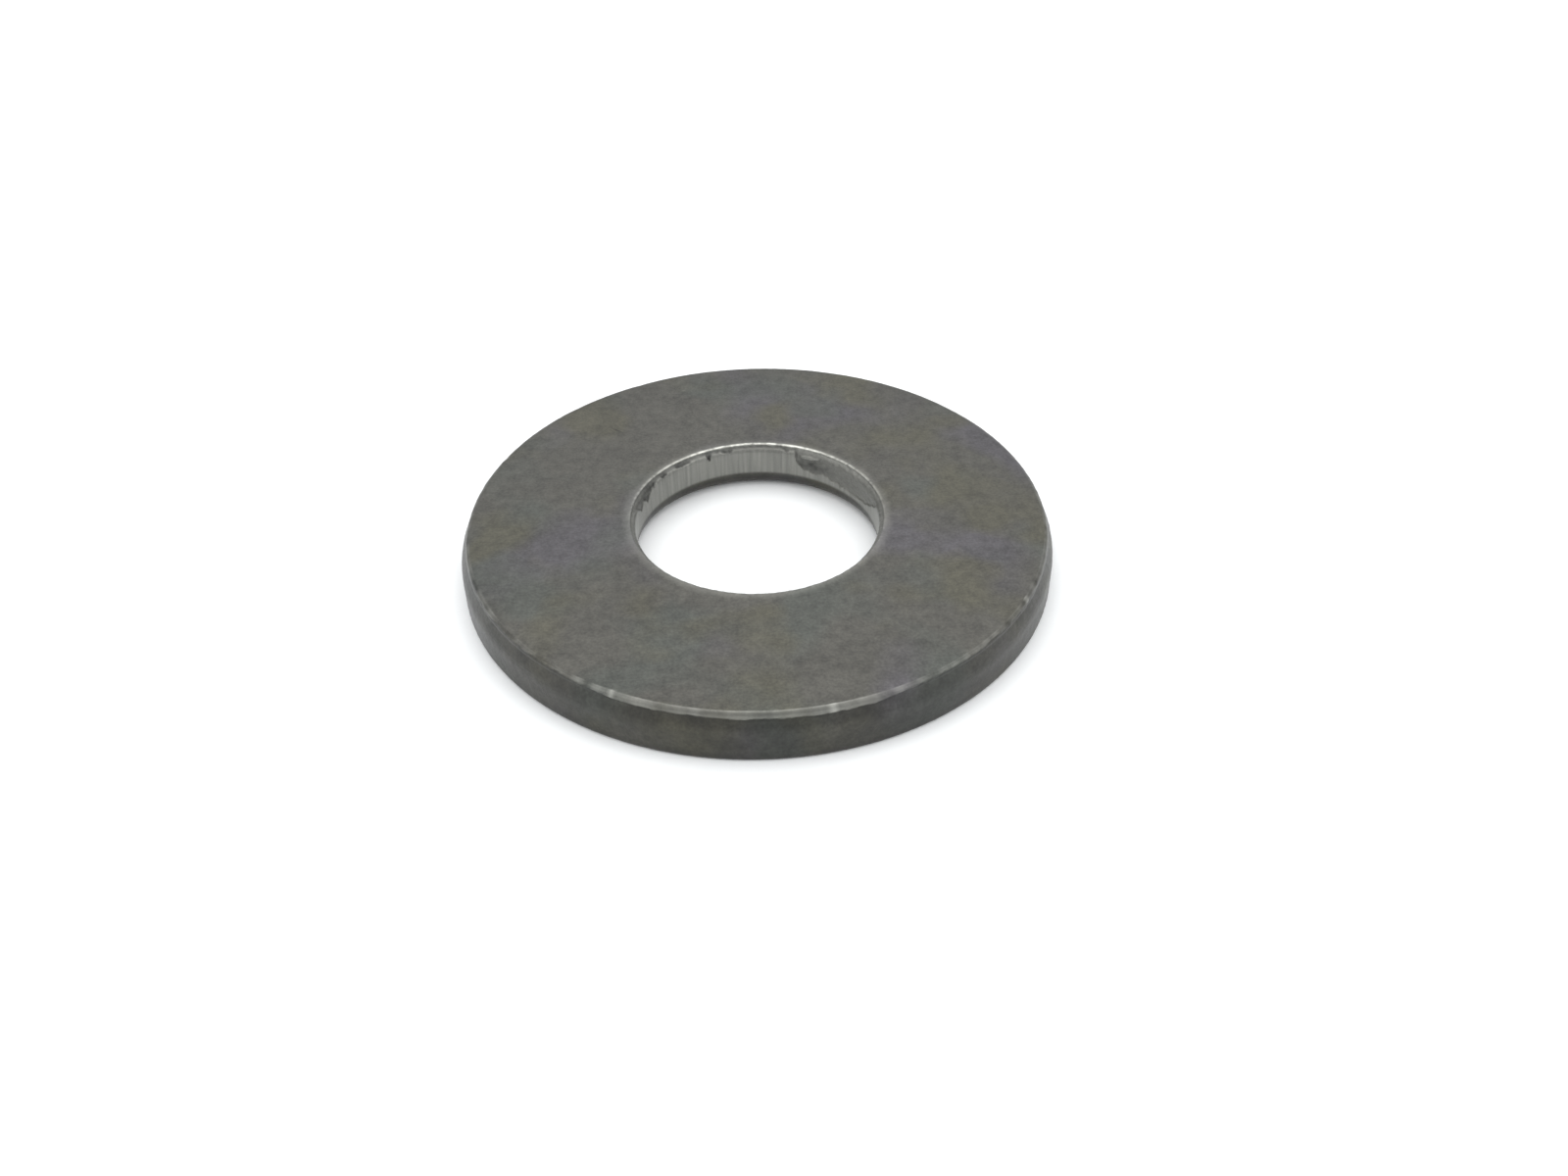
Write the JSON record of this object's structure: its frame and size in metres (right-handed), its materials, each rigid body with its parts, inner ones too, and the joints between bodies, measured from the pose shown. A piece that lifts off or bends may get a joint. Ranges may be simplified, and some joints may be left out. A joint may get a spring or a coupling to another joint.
{
  "type": "flat washer",
  "caption": "Flat ring with a plain round bore that spreads the clamping load of a bolt head or nut over the surface under it.",
  "frame": {"origin": "centre of the underside, on the axis of the bore", "axes": "+Z along the bore's axis, from the underside with the drawn-in edges to the upper face with the torn edge"},
  "size_m": [0.0348, 0.0348, 0.003],
  "materials": {
    "dark_oxide_steel": "dark grey oxide coat on tumbled steel, satin, faintly blotched, brighter where worn on the edges and in the bore"
  },
  "bodies": {
    "root": {"washer": "dark_oxide_steel"}
  },
  "joints": []
}
